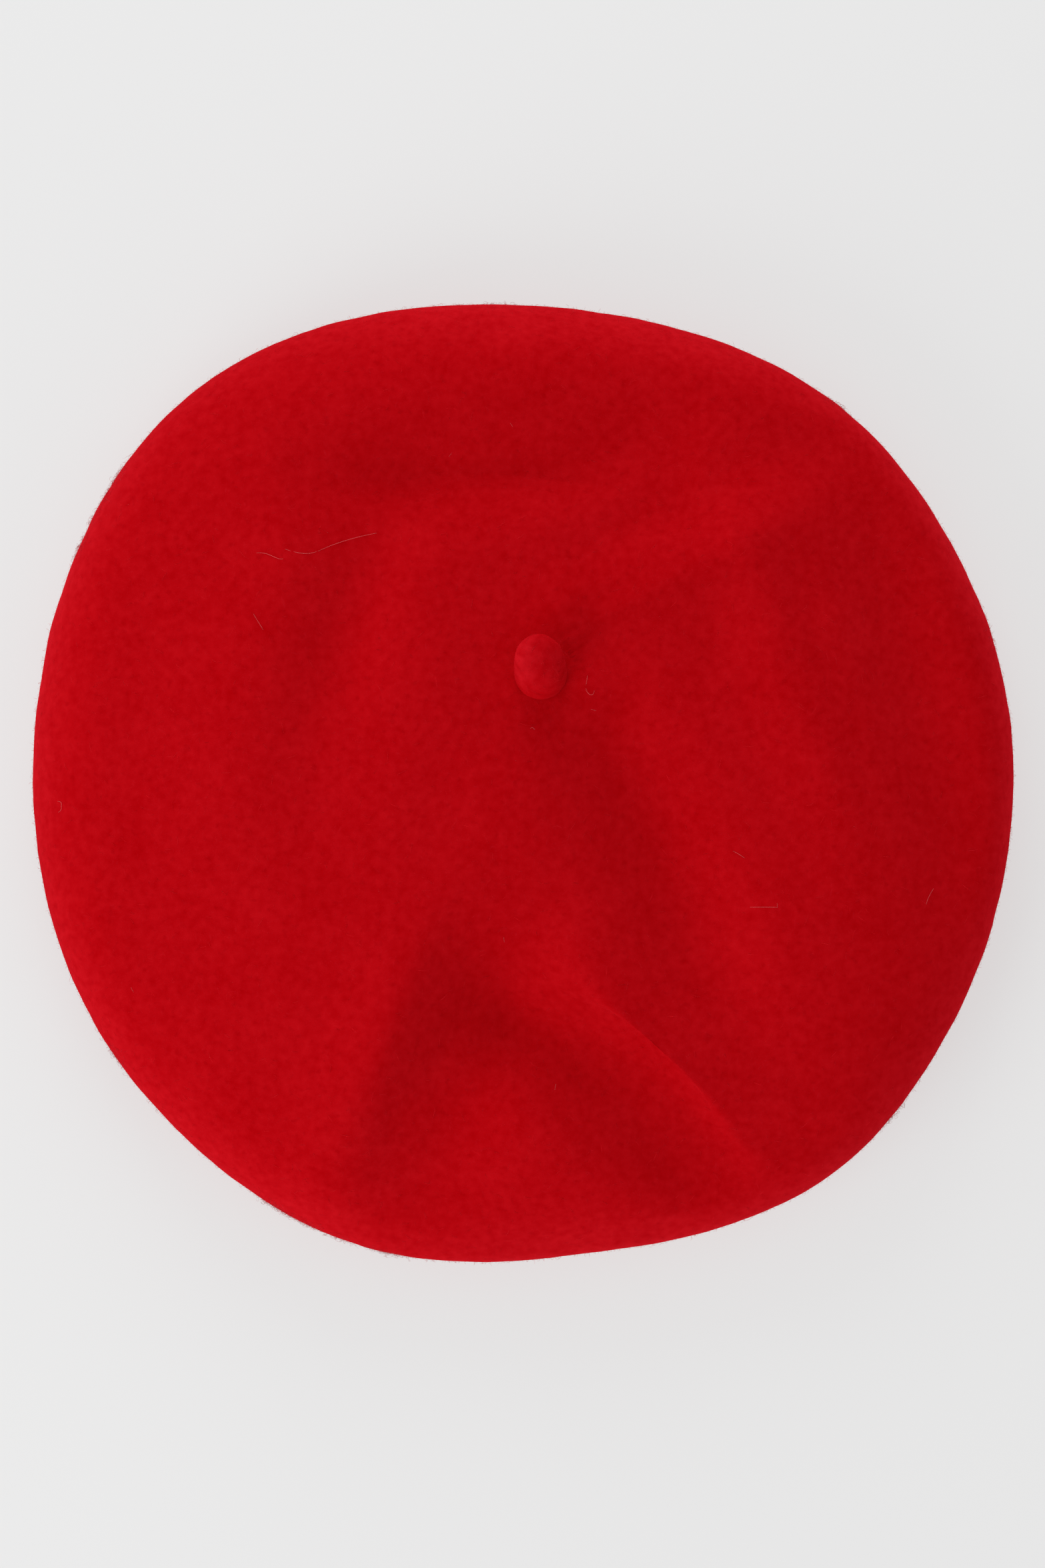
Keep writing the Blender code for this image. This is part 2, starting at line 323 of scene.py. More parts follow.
def add_node(tree, kind, inputs=None, **settings):
    """Adds a node. An input given as a node and an output is linked, and any other input is set."""
    node = tree.nodes.new(kind)
    for name, value in settings.items():
        setattr(node, name, value)
    for name, value in (inputs or {}).items():
        if isinstance(value, tuple) and isinstance(value[0], bpy.types.Node):
            tree.links.new(value[0].outputs[value[1]], node.inputs[name])
        else:
            node.inputs[name].default_value = value
    return node


def new_material(name):
    """An empty node material and its tree."""
    material = bpy.data.materials.new(name)
    material.use_nodes = True
    material.node_tree.nodes.clear()
    return material, material.node_tree


def strand_layer(tree, coordinates, felt, layer):
    """A patchwork of fibre bundles, each patch of them lying its own way, as values round 0.5."""
    moved = add_node(tree, "ShaderNodeVectorMath", {0: coordinates, 1: layer.shift}, operation="ADD")
    patch = add_node(tree, "ShaderNodeTexVoronoi", {"Vector": (moved, 0), "Scale": 1 / layer.patch})
    angles = add_node(tree, "ShaderNodeVectorMath", {0: (patch, "Color"), "Scale": math.tau},
                      operation="SCALE")
    turned = add_node(tree, "ShaderNodeVectorRotate", {"Vector": (moved, 0), "Rotation": (angles, 0)},
                      rotation_type="EULER_XYZ")
    length = 1 / (felt.strand_length * layer.length)
    width = 1 / (felt.strand_width * layer.width)
    drawn = add_node(tree, "ShaderNodeVectorMath", {0: (turned, 0), 1: (length, width, width)},
                     operation="MULTIPLY")
    return add_node(tree, "ShaderNodeTexNoise", {"Vector": (drawn, 0), "Scale": 1.0, "Detail": 1.0})


def felt_material(name, felt, sheen):
    """Wool, knitted and then fulled by washing. Its stitches have closed, so the eye gets a soft matt
    red with clouds and small pores in it, short paler fibres lying every way, a bloom of sheen, and a
    brighter red that is partly real wear on the stem and partly painted light: a painted highlight on
    the stem's left side and a painted sheen along the rim."""
    material, tree = new_material(name)
    coordinates = (add_node(tree, "ShaderNodeTexCoord"), "Object")
    clouds = add_node(tree, "ShaderNodeTexNoise",
                      {"Vector": coordinates, "Scale": 1 / felt.cloud_size, "Detail": 2.0})
    mottle = add_node(tree, "ShaderNodeTexNoise",
                      {"Vector": coordinates, "Scale": 1 / felt.mottle_size, "Detail": 1.5})
    pores = add_node(tree, "ShaderNodeTexNoise",
                     {"Vector": coordinates, "Scale": 1 / felt.pore_size, "Detail": 0.5})
    wide, fine = (strand_layer(tree, coordinates, felt, layer) for layer in STRAND_LAYERS)
    strands = add_node(tree, "ShaderNodeMath", {0: (wide, 0), 1: (fine, 0)}, operation="MAXIMUM")

    blotch = add_node(tree, "ShaderNodeMath", {0: (clouds, 0), 1: CLOUD_SHARE, 2: (mottle, 0)},
                      operation="MULTIPLY_ADD")
    depth = add_node(tree, "ShaderNodeMapRange", {"Value": (blotch, 0), "From Min": 0.40, "From Max": 1.06})
    red = add_node(tree, "ShaderNodeMix", {0: (depth, 0), 6: felt.deep_red, 7: felt.full_red},
                   data_type="RGBA")
    pore = add_node(tree, "ShaderNodeMapRange", {"Value": (pores, 0), "From Min": 0.38, "From Max": 0.22,
                                                 "To Max": 0.30})
    pitted = add_node(tree, "ShaderNodeMix", {0: (pore, 0), 6: (red, 2), 7: felt.pore_red},
                      data_type="RGBA")
    streak = add_node(tree, "ShaderNodeMapRange", {"Value": (strands, 0), "From Min": 0.60, "From Max": 0.84,
                                                   "To Max": 0.24})
    streaked = add_node(tree, "ShaderNodeMix", {0: (streak, 0), 6: (pitted, 2), 7: felt.strand_red},
                        data_type="RGBA")
    # The red is lightened where the mark says: real wear on the stem, a painted highlight on its left side and
    # a painted sheen along the rim
    worn = add_node(tree, "ShaderNodeAttribute", attribute_name="worn")
    rubbed = add_node(tree, "ShaderNodeMath", {0: (worn, "Fac"), 1: (mottle, 0)}, operation="MULTIPLY")
    coloured = add_node(tree, "ShaderNodeMix", {0: (rubbed, 0), 6: (streaked, 2), 7: felt.worn_red},
                        data_type="RGBA")

    rough = add_node(tree, "ShaderNodeMath", {0: (strands, 0), 1: STRAND_RELIEF, 2: (mottle, 0)},
                     operation="MULTIPLY_ADD")
    bump = add_node(tree, "ShaderNodeBump", {"Strength": 1.0, "Distance": felt.relief, "Height": (rough, 0)})
    wool = add_node(tree, "ShaderNodeBsdfPrincipled", {
        "Base Color": (coloured, 2), "Normal": (bump, 0), "Roughness": 1.0, "IOR": 1.54,
        "Specular IOR Level": 0.0, "Sheen Weight": sheen, "Sheen Roughness": 0.5,
        "Sheen Tint": linear("E8303F")})
    add_node(tree, "ShaderNodeOutputMaterial", {"Surface": (wool, 0)})
    return material


def fibre_material(name, colour):
    """Single wool fibres that stand out of the felt. They give the eye a thin haze that is paler
    than the felt."""
    material, tree = new_material(name)
    coordinates = (add_node(tree, "ShaderNodeTexCoord"), "Object")
    shade = add_node(tree, "ShaderNodeTexNoise", {"Vector": coordinates, "Scale": 1 / FIBRE_SHADE_SIZE})
    dark = tuple(c * FIBRE_DARK_SHARE for c in colour[:3]) + (1.0,)
    mixed = add_node(tree, "ShaderNodeMix", {0: (shade, 0), 6: dark, 7: tuple(colour)}, data_type="RGBA")
    wool = add_node(tree, "ShaderNodeBsdfPrincipled", {
        "Base Color": (mixed, 2), "Roughness": 0.9, "IOR": 1.54, "Specular IOR Level": 0.05})
    add_node(tree, "ShaderNodeOutputMaterial", {"Surface": (wool, 0)})
    return material


def table_material(name, colour, glow):
    """An opal acrylic table top, lit from below. It gives the eye one even pale grey, in which the
    beret's shadow and its red light are lost."""
    material, tree = new_material(name)
    coordinates = (add_node(tree, "ShaderNodeTexCoord"), "Object")
    haze = add_node(tree, "ShaderNodeTexNoise", {"Vector": coordinates, "Scale": 1 / TABLE_HAZE_SIZE})
    dull = add_node(tree, "ShaderNodeMapRange", {"Value": (haze, 0), "To Min": 0.55, "To Max": 0.65})
    acrylic = add_node(tree, "ShaderNodeBsdfPrincipled", {
        "Base Color": tuple(colour), "Roughness": (dull, 0), "IOR": 1.49, "Specular IOR Level": 0.1,
        "Emission Color": (1.0, 1.0, 1.0, 1.0), "Emission Strength": glow})
    add_node(tree, "ShaderNodeOutputMaterial", {"Surface": (acrylic, 0)})
    return material


def new_object(name, mesh, material=None):
    """A shown object at the origin, smooth, with one material."""
    if material is not None:
        mesh.materials.clear()
        mesh.materials.append(material)
    mesh.shade_smooth()
    piece = bpy.data.objects.new(name, mesh)
    bpy.context.scene.collection.objects.link(piece)
    return piece


def settle(piece):
    """Applies all of a piece's modifiers, so that its mesh is what was shown."""
    graph = bpy.context.evaluated_depsgraph_get()
    mesh = bpy.data.meshes.new_from_object(piece.evaluated_get(graph), depsgraph=graph)
    piece.modifiers.clear()
    piece.data = mesh


def merged_copy(node_name, merge_distance=0.02 * MM):
    """A closed mesh of four-sided faces, from a frame node's loose triangles."""
    bm = bmesh.new()
    bm.from_mesh(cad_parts[node_name].data)
    bmesh.ops.remove_doubles(bm, verts=bm.verts, dist=merge_distance)
    bmesh.ops.join_triangles(bm, faces=bm.faces, angle_face_threshold=math.pi,
                             angle_shape_threshold=math.pi)
    bmesh.ops.recalc_face_normals(bm, faces=bm.faces)
    mesh = bpy.data.meshes.new(node_name + "_smooth")
    bm.to_mesh(mesh)
    bm.free()
    for name in ("custom_normal", "sharp_face", "sharp_edge"):
        if name in mesh.attributes:
            mesh.attributes.remove(mesh.attributes[name])
    while mesh.uv_layers:
        mesh.uv_layers.remove(mesh.uv_layers[0])
    return mesh


def refine(piece, levels):
    """Rounds a piece's mesh by subdividing its faces."""
    rounding = piece.modifiers.new("rounding", "SUBSURF")
    rounding.levels = levels
    rounding.render_levels = levels
    settle(piece)


def roughen(piece, layers):
    """Pushes the felt in and out in lumps: each layer is a lump's size and its height."""
    for size, height in layers:
        texture = bpy.data.textures.new(piece.name + "_lumps", "CLOUDS")
        texture.noise_scale = size
        texture.noise_depth = 1
        lumps = piece.modifiers.new("lumps", "DISPLACE")
        lumps.texture = texture
        lumps.texture_coords = "LOCAL"
        lumps.strength = height
        lumps.mid_level = 0.5
    settle(piece)


def read_vectors(items, field):
    """One field of a mesh's items, as rows of three numbers."""
    flat = np.empty(len(items) * 3)
    items.foreach_get(field, flat)
    return flat.reshape(-1, 3)


def follow_run(x, y, fold):
    """Where the points x, y lie by a fold's run: how far along it they are, as a share, the way off
    it to each, and the run's heading and the signed distance there, which is positive on the left."""
    along = np.linspace(0, 1, RUN_SAMPLES)[:, None]
    size = np.array((HALF_WIDTH, HALF_DEPTH))
    start, middle, end = (np.array(p) * size for p in (fold.start, fold.middle, fold.end))
    control = 2 * middle - (start + end) / 2
    run = (1 - along) ** 2 * start + 2 * along * (1 - along) * control + along ** 2 * end
    heading = np.gradient(run, axis=0)
    heading /= np.linalg.norm(heading, axis=1)[:, None]
    aside = np.stack((x[None, :] - run[:, :1], y[None, :] - run[:, 1:]), axis=2)
    nearest = np.argmin((aside ** 2).sum(axis=2), axis=0)
    off = aside[nearest, np.arange(len(x))]
    way = heading[nearest]
    side = way[:, 0] * off[:, 1] - way[:, 1] * off[:, 0]
    return along[nearest, 0], off, way, side


def crease_rise(x, y, crease):
    """How far one crease lifts the points x, y of the crown, as an array in metres."""
    along, off, _, side = follow_run(x, y, crease)
    breadth = np.where(side > 0, crease.left, crease.right) * MM
    fade = np.sin(math.pi * along) ** CREASE_FULLNESS
    return -crease.depth * MM * fade * np.exp(-(off ** 2).sum(axis=1) / breadth ** 2)


def lip_shift(x, y, lip):
    """How far one lip draws the points x, y towards its face, as two arrays in metres."""
    along, _, way, side = follow_run(x, y, lip)
    narrowed = lip.share + (1 - lip.share) * smooth_step(0, 2 * lip.reach * MM, np.abs(side))
    pull = side * (narrowed - 1) * np.sin(math.pi * along)
    return -way[:, 1] * pull, way[:, 0] * pull


def press_creases(piece):
    """Presses the finer folds into both faces of the crown's felt, draws the lips over their dents
    and lays the felt flat on the table."""
    mesh = piece.data
    places = read_vectors(mesh.vertices, "co")
    x, y, z = places.T
    inside = smooth_step(RELIEF_FADE_LOW, RELIEF_FADE_HIGH, z)
    z += inside * sum(crease_rise(x, y, crease) for crease in CREASES)
    for lip in LIPS:
        shift_x, shift_y = lip_shift(x, y, lip)
        x += inside * shift_x
        y += inside * shift_y
    places[:, 2] = np.maximum(z, LOW.z + TABLE_GAP)
    mesh.vertices.foreach_set("co", places.ravel())
    mesh.update()


def paint(piece, name, values):
    """Keeps one number for each of a piece's vertices, under a name that other pieces read."""
    layer = piece.data.attributes.new(name, "FLOAT", "POINT")
    layer.data.foreach_set("value", values)


def paint_fuzz(piece):
    """Marks on the crown a painted sheen along the rim, where fibres lie, where they stand along the rim and
    where they tangle."""
    x, y, z = read_vectors(piece.data.vertices, "co").T
    out_x, out_y, out_z = read_vectors(piece.data.vertex_normals, "vector").T
    away = np.hypot(x / HALF_WIDTH, y / HALF_DEPTH)
    outward = (out_x * x + out_y * y) / np.maximum(np.hypot(x, y), MM)
    rim = smooth_step(*RIM_OUTWARD, outward) * smooth_step(*RIM_AWAY, away)
    top = smooth_step(*TOP_UPWARD, out_z) * smooth_step(*TOP_HEIGHTS, z + TOP_FALL * away)
    direction = np.degrees(np.arctan2(y, x)) % 360
    edge = smooth_step(*EDGE_OUTWARD, outward) * smooth_step(*RIM_AWAY, away)
    tufts = sum(t.share * np.exp(-((direction - t.direction) / t.spread) ** 2) for t in TUFTS)
    tangle = smooth_step(*TANGLE_OUTWARD, outward) * tufts
    # Painted sheen: the felt that faces outwards along the rim is painted lighter and pinker
    paint(piece, "worn", RIM_PAINTED_SHEEN * rim)
    paint(piece, "lying", np.maximum(top, rim))
    paint(piece, "rim", edge)
    paint(piece, "tangled", edge * tangle)


def grow_fibre(name, kind, material, length, thickness, dice):
    """A single fibre with three sides, grown step by step from a small triangle and thinner at both
    ends. It starts tilted from upright and turns a little at each step."""
    bm = bmesh.new()
    heading = Matrix.Rotation(math.radians(kind.tilt), 3, "Y")
    width = FIBRE_ROOT
    bmesh.ops.create_circle(bm, cap_ends=True, segments=3, radius=thickness * width,
                            matrix=heading.to_4x4())
    tip = list(bm.faces)
    spot = Vector()
    for step in range(kind.steps):
        grown = bmesh.ops.extrude_face_region(bm, geom=tip)["geom"]
        verts = [g for g in grown if isinstance(g, bmesh.types.BMVert)]
        tip = [g for g in grown if isinstance(g, bmesh.types.BMFace)]
        turn = Matrix.Rotation(math.radians(dice.gauss(kind.bend, kind.bend * BEND_VARIATION)), 3, "Y")
        turn @= Matrix.Rotation(math.radians(dice.gauss(0, kind.twist)), 3, "X")
        heading = heading @ turn
        swelling = math.sin(math.pi * (SWELLING_START + SWELLING_RUN * (step + 1) / kind.steps))
        next_width = 0.5 * swelling + FIBRE_LEAST
        move = heading @ Vector((0, 0, length / kind.steps))
        bmesh.ops.scale(bm, verts=verts, vec=(next_width / width,) * 3, space=Matrix.Translation(-spot))
        bmesh.ops.rotate(bm, verts=verts, cent=spot,
                         matrix=heading @ turn.transposed() @ heading.transposed())
        bmesh.ops.translate(bm, verts=verts, vec=move)
        spot += move
        width = next_width
    mesh = bpy.data.meshes.new(name)
    bm.to_mesh(mesh)
    bm.free()
    mesh.materials.append(material)
    return bpy.data.objects.new(name, mesh)


def scatter(kind, fibres, count_per_area):
    """A mesh of fibres spread over the faces of their kind's host, as densely as the host's mark says,
    each turned its own way and leaning by up to the kind's lean."""
    shapes = bpy.data.collections.new(kind.name + "_shapes")
    for fibre in fibres:
        shapes.objects.link(fibre)
    tree = bpy.data.node_groups.new(kind.name, "GeometryNodeTree")
    tree.interface.new_socket("Geometry", in_out="OUTPUT", socket_type="NodeSocketGeometry")
    felt = add_node(tree, "GeometryNodeObjectInfo", {"Object": bpy.data.objects[kind.host]})
    marked = add_node(tree, "GeometryNodeInputNamedAttribute", {"Name": kind.mark}, data_type="FLOAT")
    density = add_node(tree, "ShaderNodeMath", {0: (marked, 0), 1: count_per_area}, operation="MULTIPLY")
    points = add_node(tree, "GeometryNodeDistributePointsOnFaces",
                      {"Mesh": (felt, "Geometry"), "Density": (density, 0), "Seed": kind.place_seed})
    lean = math.radians(kind.lean)
    turn = add_node(tree, "FunctionNodeRandomValue",
                    {0: (-lean, -lean, 0.0), 1: (lean, lean, math.tau), "Seed": kind.place_seed + 1},
                    data_type="FLOAT_VECTOR")
    turned = add_node(tree, "FunctionNodeRotateRotation",
                      {"Rotation": (points, "Rotation"), "Rotate By": (turn, 0)}, rotation_space="LOCAL")
    size = add_node(tree, "FunctionNodeRandomValue",
                    {2: kind.sizes[0], 3: kind.sizes[1], "Seed": kind.place_seed + 2})
    picked = add_node(tree, "GeometryNodeCollectionInfo",
                      {"Collection": shapes, "Separate Children": True, "Reset Children": True})
    placed = add_node(tree, "GeometryNodeInstanceOnPoints",
                      {"Points": (points, "Points"), "Instance": (picked, 0), "Pick Instance": True,
                       "Rotation": (turned, 0), "Scale": (size, 1)})
    joined = add_node(tree, "GeometryNodeRealizeInstances", {"Geometry": (placed, 0)})
    add_node(tree, "NodeGroupOutput", {"Geometry": (joined, 0)})
    piece = new_object(kind.name, bpy.data.meshes.new(kind.name))
    piece.modifiers.new("spread", "NODES").node_group = tree
    settle(piece)
    for fibre in fibres:
        bpy.data.objects.remove(fibre)
    bpy.data.collections.remove(shapes)
    piece.data.shade_smooth()
    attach(piece, "root")


def grow_kind(kind, material, length, thickness, count_per_area):
    """Grows the shapes of a kind of fibre, then spreads them over its host."""
    dice = random.Random(kind.shape_seed)
    fibres = [grow_fibre(f"{kind.name}_{i}", kind, material, length * dice.uniform(*kind.lengths),
                         thickness, dice) for i in range(kind.shapes)]
    scatter(kind, fibres, count_per_area)


def lay_hair(places, thickness, felt, dice):
    """A loose hair as a curve that lies on the felt along its places and bows a little off it."""
    curve = bpy.data.curves.new("hair", "CURVE")
    curve.dimensions = "3D"
    curve.resolution_u = 5
    curve.bevel_depth = thickness / 2
    curve.bevel_resolution = 1
    curve.use_fill_caps = True
    spline = curve.splines.new("NURBS")
    spline.points.add(len(places) - 1)
    spline.order_u = min(4, len(places))
    spline.use_endpoint_u = True
    last = len(places) - 1
    for i, (point, (x, y)) in enumerate(zip(spline.points, places)):
        above = Vector((x * MM, y * MM, HIGH.z + RAY_START))
        hit = felt.ray_cast(above, Vector((0, 0, -1)))[0]
        if hit is None:
            raise RuntimeError("a loose hair has no felt under it")
        bow = HAIR_LIFT * math.sin(math.pi * i / last) * dice.uniform(*HAIR_BOWS)
        point.co = (hit.x, hit.y, hit.z + thickness / 2 + bow, 1.0)
        point.radius = 1.0 if 0 < i < last else 0.5
    return bpy.data.objects.new("hair", curve)


def joined_mesh(name, objects):
    """One mesh of several objects' shown shapes."""
    bm = bmesh.new()
    for piece in objects:
        bpy.context.scene.collection.objects.link(piece)
    graph = bpy.context.evaluated_depsgraph_get()
    for piece in objects:
        mesh = bpy.data.meshes.new_from_object(piece.evaluated_get(graph))
        bm.from_mesh(mesh)
        bpy.data.meshes.remove(mesh)
        bpy.data.objects.remove(piece)
    mesh = bpy.data.meshes.new(name)
    bm.to_mesh(mesh)
    bm.free()
    return mesh


class BeretFelt(bpy.types.PropertyGroup):
    """The felt's colours and the sizes of what shows in it."""

    deep_red: bpy.props.FloatVectorProperty(
        name="Deep red", description="Colour of the felt where it is thin", size=4, subtype="COLOR",
        min=0, max=1, default=linear("AE0108"))
    full_red: bpy.props.FloatVectorProperty(
        name="Full red", description="Colour of the felt where it is dense", size=4, subtype="COLOR",
        min=0, max=1, default=linear("BE0A13"))
    pore_red: bpy.props.FloatVectorProperty(
        name="Pore red", description="Colour in the small pores between the fibres", size=4,
        subtype="COLOR", min=0, max=1, default=linear("9C0006"))
    strand_red: bpy.props.FloatVectorProperty(
        name="Strand red", description="Colour of the fibres that lie on the felt", size=4,
        subtype="COLOR", min=0, max=1, default=linear("C21C28"))
    # Also the red of the painted highlight on the stem's left side and of the painted sheen along the rim
    worn_red: bpy.props.FloatVectorProperty(
        name="Worn red", description="Colour where the felt is rubbed, on the stem and along the rim", size=4,
        subtype="COLOR", min=0, max=1, default=linear("EE2838"))
    cloud_size: bpy.props.FloatProperty(
        name="Cloud size", description="Distance between broad lighter and darker places",
        unit="LENGTH", default=17 * MM, min=MM)
    mottle_size: bpy.props.FloatProperty(
        name="Mottle size", description="Distance between the lumps that were once stitches",
        unit="LENGTH", default=2.6 * MM, min=0.1 * MM)
    pore_size: bpy.props.FloatProperty(
        name="Pore size", description="Distance between pores", unit="LENGTH", default=1.7 * MM, min=0.1 * MM)
    strand_length: bpy.props.FloatProperty(
        name="Strand length", description="Length of the fibre bundles", unit="LENGTH",
        default=2.8 * MM, min=0.1 * MM)
    strand_width: bpy.props.FloatProperty(
        name="Strand width", description="Width of the bundles, drawn coarser than single fibres to show",
        unit="LENGTH", default=0.42 * MM, min=0.01 * MM)
    relief: bpy.props.FloatProperty(
        name="Relief", description="Height of the felt's roughness", unit="LENGTH", default=0.07 * MM, min=0)


class BeretShape(bpy.types.PropertyGroup):
    """How finely the crown and the stem are modelled, and the height of their lumps."""

    levels: bpy.props.IntProperty(
        name="Levels", description="How often the frame's faces are subdivided", default=2, min=0, max=2)
    lump_size: bpy.props.FloatProperty(
        name="Lump size", description="Distance between the felt's soft lumps", unit="LENGTH",
        default=13 * MM, min=MM)
    lump_height: bpy.props.FloatProperty(
        name="Lump height", description="Height of the soft lumps", unit="LENGTH", default=0.5 * MM, min=0)
    pill_size: bpy.props.FloatProperty(
        name="Pill size", description="Distance between the small pills on the felt", unit="LENGTH",
        default=2.4 * MM, min=MM)
    pill_height: bpy.props.FloatProperty(
        name="Pill height", description="Height of the small pills", unit="LENGTH", default=0.22 * MM, min=0)
    stem_swell: bpy.props.FloatProperty(
        name="Stem swell", description="How far the stem's sides swell between its foot and its tip",
        unit="LENGTH", default=0.9 * MM, min=0)
    foot_flare: bpy.props.FloatProperty(
        name="Foot flare", description="How far the stem's foot spreads into the crown", unit="LENGTH",
        default=0.1 * MM, min=0)
    foot_height: bpy.props.FloatProperty(
        name="Foot height", description="Height over which the stem's foot spreads", unit="LENGTH",
        default=3.0 * MM, min=0.5 * MM)
    foot_sink: bpy.props.FloatProperty(
        name="Foot sink", description="How far the spread foot is felted into the crown", unit="LENGTH",
        default=0.9 * MM, min=0)


class BeretFuzz(bpy.types.PropertyGroup):
    """The loose fibres. They are drawn about twice as thick as real ones, so that they show."""

    thickness: bpy.props.FloatProperty(
        name="Thickness", description="Thickness of a fibre", unit="LENGTH", default=0.05 * MM,
        min=0.01 * MM)
    nap_length: bpy.props.FloatProperty(
        name="Nap length", description="Length of the lying fibres", unit="LENGTH", default=3.0 * MM, min=MM)
    nap_density: bpy.props.FloatProperty(
        name="Nap density", description="Lying fibres to a square metre of felt", default=30000, min=0)
    rim_length: bpy.props.FloatProperty(
        name="Rim length", description="Length of the fibres that stand along the rim", unit="LENGTH",
        default=1.3 * MM, min=0.2 * MM)
    rim_density: bpy.props.FloatProperty(
        name="Rim density", description="Standing fibres to a square metre of rim", default=430000, min=0)
    tangle_length: bpy.props.FloatProperty(
        name="Tangle length", description="Length of the fibres in the tangled tufts", unit="LENGTH",
        default=4.2 * MM, min=MM)
    tangle_density: bpy.props.FloatProperty(
        name="Tangle density", description="Tangled fibres to a square metre of the fullest tuft",
        default=2100000, min=0)
    hair_thickness: bpy.props.FloatProperty(
        name="Hair thickness", description="Thickness of the stray pale hairs", unit="LENGTH",
        default=0.08 * MM, min=0.01 * MM)
    fibre_red: bpy.props.FloatVectorProperty(
        name="Fibre red", description="Colour of the loose red fibres", size=4, subtype="COLOR",
        min=0, max=1, default=linear("EE222C"))
    tangle_red: bpy.props.FloatVectorProperty(
        name="Tangle red", description="Colour of the tangled tufts", size=4, subtype="COLOR",
        min=0, max=1, default=linear("CC3A46"))
    hair_pink: bpy.props.FloatVectorProperty(
        name="Hair pink", description="Colour of the stray pale hairs", size=4, subtype="COLOR",
        min=0, max=1, default=linear("F07478"))


class BeretStage(bpy.types.PropertyGroup):
    """The table, the lamps and the light from all round."""

    table: bpy.props.FloatVectorProperty(
        name="Table", description="Colour of the table top", size=4, subtype="COLOR", min=0, max=1,
        default=linear("8A8A8A"))
    glow: bpy.props.FloatProperty(
        name="Table glow", description="Light that comes up through the table top", default=0.58, min=0)
    lamps: bpy.props.FloatProperty(
        name="Lamps", description="Strength of all the lamps together", default=1.0, min=0)
    room: bpy.props.FloatProperty(
        name="Room light", description="Strength of the light from all round", default=0.83, min=0)


class BERET_OT_crown(bpy.types.Operator):
    """Makes the crown of fulled wool, with its folds, lumps and turned hem, from the frame's crown"""

    bl_idname = "beret.crown"
    bl_label = "Felt Crown"

    def execute(self, context):
        shape = context.scene.beret_shape
        crown = new_object("felt_crown", merged_copy("crown"),
                           felt_material("fulled_wool", context.scene.beret_felt, CROWN_SHEEN))
        refine(crown, shape.levels)
        roughen(crown, ((shape.lump_size, shape.lump_height), (shape.pill_size, shape.pill_height)))
        press_creases(crown)
        paint_fuzz(crown)
        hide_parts("crown")
        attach(crown, "root")
        return {"FINISHED"}


class BERET_OT_stem(bpy.types.Operator):
    """Makes the stem, with its foot spread and felted into the crown, from the frame's stem"""

    bl_idname = "beret.stem"
    bl_label = "Felt Stem"

    def execute(self, context):
        shape = context.scene.beret_shape
        stem = new_object("felt_stem", merged_copy("stem"),
                          felt_material("rubbed_wool", context.scene.beret_felt, STEM_SHEEN))
        refine(stem, shape.levels)
        # The stem is rolled tight, so its lumps are lower and closer together than the crown's
        roughen(stem, ((shape.lump_size / 3, shape.lump_height / 2),
                       (shape.pill_size, shape.pill_height / 2)))
        self.swell(stem.data, shape)
        self.spread_foot(stem.data, shape)
        x, _, z = read_vectors(stem.data.vertices, "co").T
        from_right = (STEM_HIGH.x - x) / (STEM_HIGH.x - STEM_LOW.x)
        up = (z - STEM_LOW.z) / (STEM_HIGH.z - STEM_LOW.z)
        # Real wear towards the tip, with a painted highlight that lightens the left side, the side the lamp on
        # the left lights
        stem_wear_and_highlight = STEM_WEAR_ALL + STEM_PAINTED_HIGHLIGHT_LEFT * smooth_step(*STEM_HIGHLIGHT_SIDE, from_right)
        paint(stem, "lying", smooth_step(*STEM_NAP_HEIGHTS, up))
        paint(stem, "worn", smooth_step(*STEM_WEAR_AND_HIGHLIGHT_HEIGHTS, up) * stem_wear_and_highlight)
        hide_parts("stem")
        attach(stem, "root")
        return {"FINISHED"}

    def swell(self, mesh, shape):
        """Rounds the stem's sides out between its foot and its tip."""
        for vertex, normal in zip(mesh.vertices, [n.vector.copy() for n in mesh.vertex_normals]):
            share = (vertex.co.z - STEM_LOW.z) / (STEM_HIGH.z - STEM_LOW.z)
            vertex.co += normal * shape.stem_swell * math.sin(math.pi * min(max(share, 0.0), 1.0))
        mesh.update()

    def spread_foot(self, mesh, shape):
        """Widens the stem's lowest part and lets it down into the crown."""
        foot_rim = [v.co for v in mesh.vertices if v.co.z < STEM_LOW.z + MM]
        middle = sum(foot_rim, Vector()) / len(foot_rim)
        for vertex in mesh.vertices:
            near = 1 - smooth_step(0, shape.foot_height, vertex.co.z - STEM_LOW.z)
            out = vertex.co - middle
            out.z = 0
            if out.length > MM:
                vertex.co += out.normalized() * shape.foot_flare * near ** 2
            vertex.co.z -= shape.foot_sink * near ** 2
        mesh.update()


class BERET_OT_nap(bpy.types.Operator):
    """Spreads short lying fibres over the top and the rim, and over the stem"""

    bl_idname = "beret.nap"
    bl_label = "Lying Nap"

    def execute(self, context):
        fuzz = context.scene.beret_fuzz
        for kind, share in ((CROWN_NAP, 1.0), (STEM_NAP, STEM_NAP_SHARE)):
            material = fibre_material("loose_wool_" + kind.name, fuzz.fibre_red)
            grow_kind(kind, material, fuzz.nap_length, fuzz.thickness, fuzz.nap_density * share)
        return {"FINISHED"}


